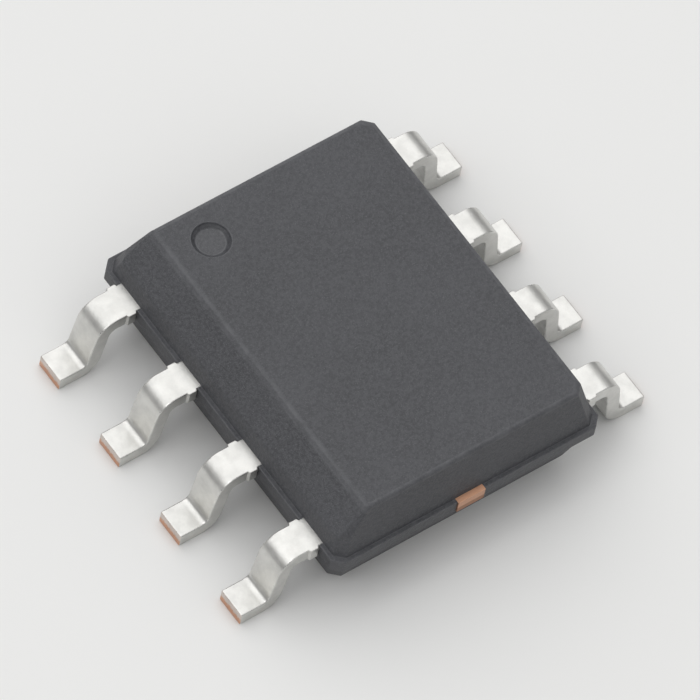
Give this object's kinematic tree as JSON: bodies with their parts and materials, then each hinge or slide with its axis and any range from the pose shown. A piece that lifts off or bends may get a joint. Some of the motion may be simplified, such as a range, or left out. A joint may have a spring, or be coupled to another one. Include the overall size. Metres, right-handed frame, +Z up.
{
  "type": "soic chip",
  "caption": "Small-outline surface-mount integrated circuit: drafted epoxy body on gull-wing solder leads in two rows, with die, pad and bond wires inside.",
  "frame": {"origin": "middle of the package on the seating plane of its feet", "axes": "+Z up from the board through the top face; +X across the two rows of leads, from the row of leads 1 to 4 to the row of leads 5 to 8; +Y along the rows, towards the end with leads 1 and 8"},
  "size_m": [0.006, 0.005, 0.0016],
  "materials": {
    "mould_compound": "satin, with the fine grain of a spark-eroded mould",
    "tinned_leads": "matte tin plating over copper",
    "frame_copper": "rolled copper alloy",
    "silver_adhesive": "matt cured paste",
    "silicon": "polished",
    "gold_wire": "bright"
  },
  "bodies": {
    "root": {"moulded_body": "mould_compound", "lead_1": "tinned_leads", "lead_2": "tinned_leads", "lead_3": "tinned_leads", "lead_4": "tinned_leads", "lead_5": "tinned_leads", "lead_6": "tinned_leads", "lead_7": "tinned_leads", "lead_8": "tinned_leads", "die_pad": "frame_copper", "die_attach": "silver_adhesive", "die": "silicon", "bond_wire_1": "gold_wire", "bond_wire_2": "gold_wire", "bond_wire_3": "gold_wire", "bond_wire_4": "gold_wire", "bond_wire_5": "gold_wire", "bond_wire_6": "gold_wire", "bond_wire_7": "gold_wire", "bond_wire_8": "gold_wire"}
  },
  "joints": []
}
